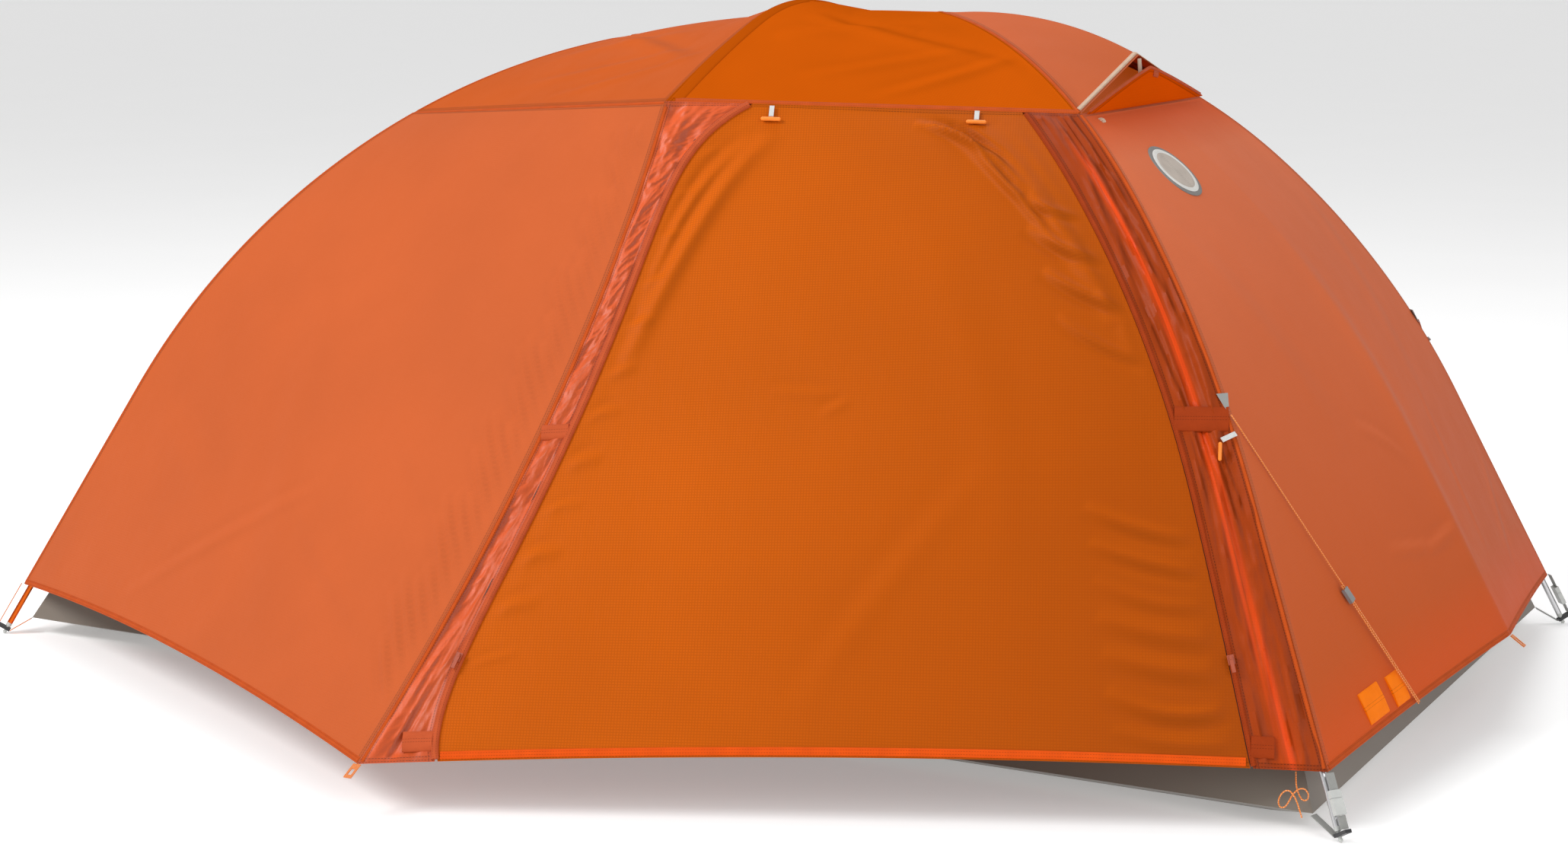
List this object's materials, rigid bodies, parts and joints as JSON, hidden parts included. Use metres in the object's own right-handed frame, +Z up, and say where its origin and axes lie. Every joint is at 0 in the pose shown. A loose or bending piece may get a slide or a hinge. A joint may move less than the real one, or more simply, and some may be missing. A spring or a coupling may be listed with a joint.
{
  "type": "frame tent",
  "caption": "Two-person free-standing tent on a hubbed pole frame: tub-floored inner tent under a fly with two side vestibules and an end vent.",
  "frame": {"origin": "on the ground under the middle of the floor", "axes": "+X along the tent towards the wide head end, +Y across towards the back vestibule, +Z up"},
  "size_m": [2.4918, 2.3394, 1.0543],
  "materials": {
    "pole_orange": "satin",
    "pole_silver": "satin",
    "ferrule": "satin",
    "black_plastic": "matte",
    "clear_tip": "polished",
    "cord_black": "matte",
    "tub_grey": "satin",
    "inner_cloth": "matte",
    "fly_salmon": "satin",
    "fly_roof": "satin",
    "fly_door": "satin",
    "fly_flap": "satin",
    "mesh_dark": "matte",
    "strut_beige": "satin",
    "zip_grey": "satin",
    "webbing_white": "matte",
    "webbing_grey": "matte",
    "webbing_orange": "matte",
    "toggle_orange": "satin",
    "buckle_grey": "satin",
    "cord_orange": "matte"
  },
  "bodies": {
    "tent": {"ridge_pole": "pole_orange", "brow_pole": "pole_orange", "leg_pole_head_front": "pole_silver", "leg_pole_head_back": "pole_silver", "leg_pole_foot_front": "pole_orange", "leg_pole_foot_back": "pole_orange", "pole_ferrules": "ferrule", "shock_cords": "cord_black", "hub_head": "black_plastic", "hub_foot": "black_plastic", "brow_connector": "black_plastic", "brow_tips": "black_plastic", "pole_tips": "clear_tip", "pole_clips": "black_plastic", "floor_tub": "tub_grey", "inner_end_head": "inner_cloth", "inner_end_foot": "inner_cloth", "inner_wall_front": "inner_cloth", "inner_wall_back": "inner_cloth", "roof_foot": "fly_roof", "roof_brow": "fly_roof", "side_panel_front": "fly_salmon", "side_panel_back": "fly_salmon", "end_panel_head": "fly_salmon", "end_panel_foot": "fly_salmon", "storm_flap_front": "fly_flap", "storm_flap_back": "fly_flap", "zip_strip_front": "fly_flap", "zip_strip_back": "fly_flap", "vent_hood": "fly_salmon", "vent_mesh": "mesh_dark", "webbing_loops": "webbing_white", "stake_loops": "webbing_orange", "guy_patches": "webbing_grey", "corner_straps_head": "webbing_grey", "corner_straps_foot": "webbing_orange", "tip_locks": "black_plastic", "buckle_sockets": "buckle_grey", "guyline_front": "cord_orange", "corner_cord_front": "cord_orange"},
    "front_door": {"door_front": "fly_door", "rollup_webbing_front": "webbing_white"},
    "back_door": {"door_back": "fly_door", "rollup_webbing_back": "webbing_white"},
    "front_toggle_foot": {"toggle_foot_front": "toggle_orange"},
    "front_toggle_head": {"toggle_head_front": "toggle_orange"},
    "back_toggle_foot": {"toggle_foot_back": "toggle_orange"},
    "back_toggle_head": {"toggle_head_back": "toggle_orange"},
    "front_side_toggle": {"side_toggle_front": "toggle_orange"},
    "back_side_toggle": {"side_toggle_back": "toggle_orange"},
    "front_slider_left": {"zip_slider_left_front": "zip_grey"},
    "front_slider_right": {"zip_slider_right_front": "zip_grey"},
    "back_slider_left": {"zip_slider_left_back": "zip_grey"},
    "back_slider_right": {"zip_slider_right_back": "zip_grey"},
    "front_inner_door": {"inner_door_front": "inner_cloth"},
    "back_inner_door": {"inner_door_back": "inner_cloth"},
    "strut": {"vent_strut": "strut_beige"},
    "front_buckle_tongue": {"buckle_tongue_front": "buckle_grey"},
    "back_buckle_tongue": {"buckle_tongue_back": "buckle_grey"},
    "tensioner": {"line_tensioner_front": "zip_grey"}
  },
  "joints": [
    {"name": "front_door_swing", "type": "hinge", "parent": "tent", "child": "front_door", "pos_m": [0.058, -0.46477, 0.91712], "axis": [-0.9418, -0.3354, 0.0237], "range_deg": [0, 100]},
    {"name": "back_door_swing", "type": "hinge", "parent": "tent", "child": "back_door", "pos_m": [0.058, 0.46477, 0.91712], "axis": [0.9418, -0.3354, -0.0237], "range_deg": [0, 100]},
    {"name": "front_toggle_foot_flip", "type": "hinge", "parent": "front_door", "child": "front_toggle_foot", "pos_m": [0.21295, -0.42885, 0.89696], "axis": [-0.9418, -0.3354, 0.0237], "range_deg": [0, 75]},
    {"name": "back_toggle_foot_flip", "type": "hinge", "parent": "back_door", "child": "back_toggle_foot", "pos_m": [0.21295, 0.42885, 0.89696], "axis": [0.9418, -0.3354, -0.0237], "range_deg": [0, 75]},
    {"name": "front_toggle_head_flip", "type": "hinge", "parent": "front_door", "child": "front_toggle_head", "pos_m": [0.50196, -0.32809, 0.89493], "axis": [-0.9418, -0.3354, 0.0237], "range_deg": [0, 75]},
    {"name": "back_toggle_head_flip", "type": "hinge", "parent": "back_door", "child": "back_toggle_head", "pos_m": [0.50196, 0.32809, 0.89493], "axis": [0.9418, -0.3354, -0.0237], "range_deg": [0, 75]},
    {"name": "front_side_toggle_swing", "type": "hinge", "parent": "tent", "child": "front_side_toggle", "pos_m": [0.94339, -0.54102, 0.48925], "axis": [1, 0, 0], "range_deg": [-50, 0]},
    {"name": "back_side_toggle_swing", "type": "hinge", "parent": "tent", "child": "back_side_toggle", "pos_m": [0.94339, 0.54102, 0.48925], "axis": [1, 0, 0], "range_deg": [0, 50]},
    {"name": "front_zip_left_slide", "type": "slide", "parent": "tent", "child": "front_slider_left", "axis": [0.1028, 0.6469, 0.7556], "range_m": [0, 0.3]},
    {"name": "front_zip_right_slide", "type": "slide", "parent": "tent", "child": "front_slider_right", "axis": [-0.3664, 0.3343, 0.8683], "range_m": [0, 0.28]},
    {"name": "back_zip_left_slide", "type": "slide", "parent": "tent", "child": "back_slider_left", "axis": [0.1028, -0.6469, 0.7556], "range_m": [0, 0.3]},
    {"name": "back_zip_right_slide", "type": "slide", "parent": "tent", "child": "back_slider_right", "axis": [-0.3664, -0.3343, 0.8683], "range_m": [0, 0.28]},
    {"name": "front_inner_door_drop", "type": "hinge", "parent": "tent", "child": "front_inner_door", "pos_m": [-0.33268, -0.50142, 0.23083], "axis": [-0.9985, 0.0547, -0.0045], "range_deg": [0, 85]},
    {"name": "back_inner_door_drop", "type": "hinge", "parent": "tent", "child": "back_inner_door", "pos_m": [-0.33268, 0.50142, 0.23083], "axis": [0.9985, 0.0547, 0.0045], "range_deg": [0, 85]},
    {"name": "vent_strut_fold", "type": "hinge", "parent": "tent", "child": "strut", "pos_m": [0.63207, 0, 0.90569], "axis": [0, -1, 0], "range_deg": [0, 48]},
    {"name": "front_buckle_release", "type": "slide", "parent": "tent", "child": "front_buckle_tongue", "axis": [-0.3809, 0.2999, 0.8746], "range_m": [0, 0.02]},
    {"name": "back_buckle_release", "type": "slide", "parent": "tent", "child": "back_buckle_tongue", "axis": [-0.3809, -0.2999, 0.8746], "range_m": [0, 0.02]},
    {"name": "guyline_tensioner_slide", "type": "slide", "parent": "tent", "child": "tensioner", "axis": [0.4785, 0.2934, -0.8276], "range_m": [0, 0.14]}
  ]
}
